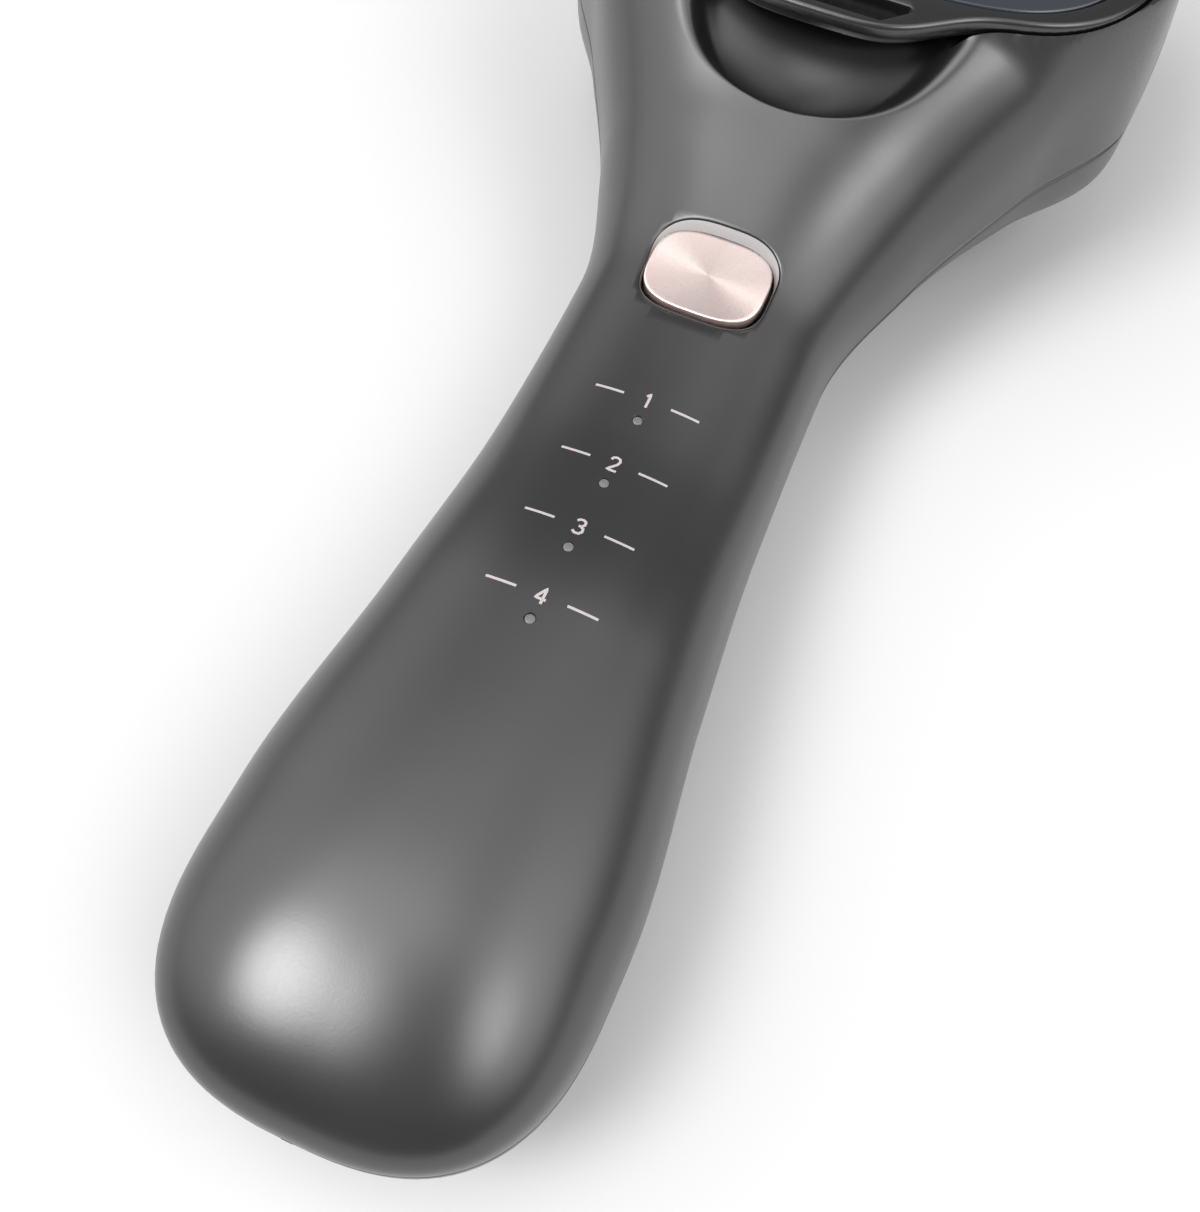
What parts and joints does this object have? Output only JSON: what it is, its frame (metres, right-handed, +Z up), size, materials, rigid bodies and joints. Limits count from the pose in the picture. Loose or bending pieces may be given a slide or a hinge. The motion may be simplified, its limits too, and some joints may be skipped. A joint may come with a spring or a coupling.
{
  "type": "electric scalp massager",
  "caption": "Handheld scalp massager: slim handle with a push button and lights, wide head with hinged lid, soft tines and sprung nozzles below.",
  "frame": {"origin": "on the surface it rests on, under the middle of the object's box", "axes": "+Y runs along the handle from the butt to the head, +Z is up through the lid, +X is to the right seen from the butt"},
  "size_m": [0.088, 0.232, 0.0494],
  "materials": {
    "housing_top": "satin soft-touch charcoal",
    "housing_bottom": "satin charcoal",
    "rose_metal": "spun, rose anodised",
    "dark_plastic": "moulded",
    "milky_plastic": "translucent",
    "led": "clear",
    "circuit_board": "solder mask",
    "steel": "plain",
    "cell_wrap": "shrink wrap",
    "wire_sleeve": "smooth",
    "gold_contact": "gold plated",
    "rubber_dark": "matt",
    "tine_rubber": "soft silicone, matt",
    "red_lens": "tinted, clear",
    "nozzle_plastic": "polished",
    "pod_plastic": "clear, frosted",
    "lid_gloss": "piano gloss, dark",
    "panel_gloss": "gloss, blue grey"
  },
  "bodies": {
    "housing": {"upper_housing": "housing_top", "lower_housing": "housing_bottom", "mode_switch": "dark_plastic", "light_guide": "milky_plastic", "indicator_leds": "led", "main_board": "circuit_board", "board_screws": "steel", "battery": "cell_wrap", "battery_cradle": "dark_plastic", "battery_leads": "wire_sleeve", "charge_contacts": "gold_contact", "charge_board": "circuit_board", "rest_foot": "rubber_dark", "case_screws": "steel", "screw_plugs": "rubber_dark", "vibration_motor": "steel", "motor_holder": "dark_plastic", "motor_leads": "wire_sleeve", "light_leads": "wire_sleeve", "comb_plate": "housing_bottom", "comb_gasket": "rubber_dark", "massage_tines": "tine_rubber", "light_lens": "red_lens", "light_board": "circuit_board", "light_leds": "led", "nozzle_sleeves": "milky_plastic", "nozzle_spring_1": "steel", "nozzle_spring_2": "steel", "nozzle_spring_3": "steel", "nozzle_spring_4": "steel", "feed_manifold": "pod_plastic", "pod_tray": "dark_plastic", "pod_body": "pod_plastic", "pod_cover": "pod_plastic", "pod_plug": "rubber_dark", "pod_spigots": "rubber_dark", "deck_magnets": "steel", "hinge_bracket": "lid_gloss", "hinge_pin": "steel"},
    "button": {"mode_button": "rose_metal", "button_plunger": "dark_plastic", "switch_stem": "dark_plastic"},
    "lid": {"lid_frame": "lid_gloss", "lid_panel": "panel_gloss", "lid_seal": "rubber_dark", "lid_magnets": "steel"},
    "weight": {"eccentric_weight": "steel"},
    "nozzle_1": {"nozzle_1": "nozzle_plastic"},
    "nozzle_2": {"nozzle_2": "nozzle_plastic"},
    "nozzle_3": {"nozzle_3": "nozzle_plastic"},
    "nozzle_4": {"nozzle_4": "nozzle_plastic"}
  },
  "joints": [
    {"name": "button_press", "type": "slide", "parent": "housing", "child": "button", "axis": [0, 0.1358, -0.9907], "range_m": [0, 0.0006], "stiffness_N_per_m": 1200, "springref_m": -0.0006},
    {"name": "lid_hinge", "type": "hinge", "parent": "housing", "child": "lid", "pos_m": [0, 0.1119, 0.0473], "axis": [-1, 0, 0], "range_deg": [0, 100]},
    {"name": "weight_spin", "type": "hinge", "parent": "housing", "child": "weight", "pos_m": [0, 0.0475, 0.0232], "axis": [0, 1, 0], "continuous": true},
    {"name": "nozzle_1_press", "type": "slide", "parent": "housing", "child": "nozzle_1", "axis": [0, 0, 1], "range_m": [0, 0.0018], "stiffness_N_per_m": 300, "springref_m": -0.0015, "deforming": ["nozzle_spring_1"]},
    {"name": "nozzle_2_press", "type": "slide", "parent": "housing", "child": "nozzle_2", "axis": [0, 0, 1], "range_m": [0, 0.0018], "stiffness_N_per_m": 300, "springref_m": -0.0015, "deforming": ["nozzle_spring_2"]},
    {"name": "nozzle_3_press", "type": "slide", "parent": "housing", "child": "nozzle_3", "axis": [0, 0, 1], "range_m": [0, 0.0018], "stiffness_N_per_m": 300, "springref_m": -0.0015, "deforming": ["nozzle_spring_3"]},
    {"name": "nozzle_4_press", "type": "slide", "parent": "housing", "child": "nozzle_4", "axis": [0, 0, 1], "range_m": [0, 0.0018], "stiffness_N_per_m": 300, "springref_m": -0.0015, "deforming": ["nozzle_spring_4"]}
  ]
}
